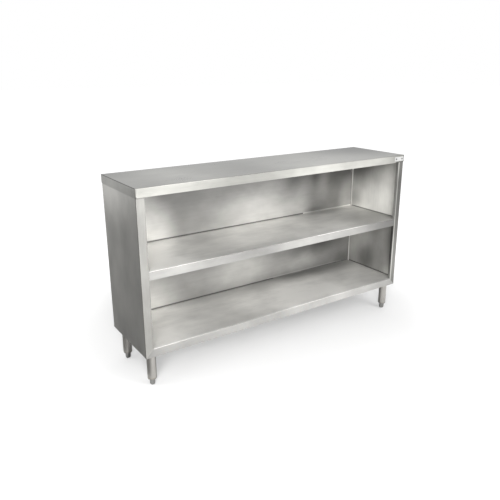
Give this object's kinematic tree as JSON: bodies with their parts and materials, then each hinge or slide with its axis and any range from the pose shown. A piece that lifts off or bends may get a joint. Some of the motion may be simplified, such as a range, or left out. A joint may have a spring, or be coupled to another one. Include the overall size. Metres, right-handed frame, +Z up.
{
  "type": "open dish cabinet",
  "caption": "Low open-front cabinet for china and dishes: folded stainless sheet body with a flat top and fixed shelves, on tubular legs with levelling feet.",
  "frame": {"origin": "on the floor, under the middle of the cabinet's outline seen from above", "axes": "+X along the width, to the right as seen from the open front; +Y from the open front to the back; +Z up"},
  "size_m": [1.524, 0.3826, 0.889],
  "materials": {
    "top": "stainless sheet, fine brushed grain along the width",
    "side_panel": "stainless sheet, fine brushed grain up the panel",
    "back_panel": "stainless sheet, fine brushed grain along the width",
    "shelf": "stainless sheet, fine brushed grain along the width",
    "channel": "galvanised or plain mill sheet, dull",
    "leg_tube": "stainless tube, polished round",
    "socket": "turned and welded, dull",
    "insert": "turned, satin",
    "foot": "turned from hexagon bar, satin",
    "stud": "threaded, bright",
    "screw": "blackened",
    "badge": "pale satin, blank",
    "rivet": "dull"
  },
  "bodies": {
    "cabinet": {"top_deck": "top", "top_channel": "channel", "left_side_panel": "side_panel", "right_side_panel": "side_panel", "back_panel": "back_panel", "middle_shelf": "shelf", "middle_shelf_channel": "channel", "bottom_shelf": "shelf", "bottom_shelf_channel": "channel", "left_leg_channel": "channel", "right_leg_channel": "channel", "badge_plate": "badge", "badge_rivets": "rivet", "front_left_leg_socket": "socket", "front_left_set_screw": "screw", "front_left_leg_tube": "leg_tube", "front_left_foot_insert": "insert", "front_right_leg_socket": "socket", "front_right_set_screw": "screw", "front_right_leg_tube": "leg_tube", "front_right_foot_insert": "insert", "rear_left_leg_socket": "socket", "rear_left_set_screw": "screw", "rear_left_leg_tube": "leg_tube", "rear_left_foot_insert": "insert", "rear_right_leg_socket": "socket", "rear_right_set_screw": "screw", "rear_right_leg_tube": "leg_tube", "rear_right_foot_insert": "insert"},
    "front_left_stud": {"front_left_foot_stud": "stud"},
    "front_left_foot": {"front_left_levelling_foot": "foot"},
    "front_right_stud": {"front_right_foot_stud": "stud"},
    "front_right_foot": {"front_right_levelling_foot": "foot"},
    "rear_left_stud": {"rear_left_foot_stud": "stud"},
    "rear_left_foot": {"rear_left_levelling_foot": "foot"},
    "rear_right_stud": {"rear_right_foot_stud": "stud"},
    "rear_right_foot": {"rear_right_levelling_foot": "foot"}
  },
  "joints": [
    {"name": "front_left_foot_travel", "type": "slide", "parent": "cabinet", "child": "front_left_stud", "axis": [0, 0, -1], "range_m": [-0.00195, 0.0234]},
    {"name": "front_left_foot_turn", "type": "hinge", "parent": "front_left_stud", "child": "front_left_foot", "pos_m": [-0.7204, -0.1445, 0.01], "axis": [0, 0, -1], "range_deg": [-360, 4320]},
    {"name": "front_right_foot_travel", "type": "slide", "parent": "cabinet", "child": "front_right_stud", "axis": [0, 0, -1], "range_m": [-0.00195, 0.0234]},
    {"name": "front_right_foot_turn", "type": "hinge", "parent": "front_right_stud", "child": "front_right_foot", "pos_m": [0.7204, -0.1445, 0.01], "axis": [0, 0, -1], "range_deg": [-360, 4320]},
    {"name": "rear_left_foot_travel", "type": "slide", "parent": "cabinet", "child": "rear_left_stud", "axis": [0, 0, -1], "range_m": [-0.00195, 0.0234]},
    {"name": "rear_left_foot_turn", "type": "hinge", "parent": "rear_left_stud", "child": "rear_left_foot", "pos_m": [-0.7204, 0.1371, 0.01], "axis": [0, 0, -1], "range_deg": [-360, 4320]},
    {"name": "rear_right_foot_travel", "type": "slide", "parent": "cabinet", "child": "rear_right_stud", "axis": [0, 0, -1], "range_m": [-0.00195, 0.0234]},
    {"name": "rear_right_foot_turn", "type": "hinge", "parent": "rear_right_stud", "child": "rear_right_foot", "pos_m": [0.7204, 0.1371, 0.01], "axis": [0, 0, -1], "range_deg": [-360, 4320]}
  ],
  "couplings": [
    {"joint": "front_left_foot_turn", "follows": "front_left_foot_travel", "rad_per_m": 3215.8},
    {"joint": "front_right_foot_turn", "follows": "front_right_foot_travel", "rad_per_m": 3215.8},
    {"joint": "rear_left_foot_turn", "follows": "rear_left_foot_travel", "rad_per_m": 3215.8},
    {"joint": "rear_right_foot_turn", "follows": "rear_right_foot_travel", "rad_per_m": 3215.8}
  ]
}
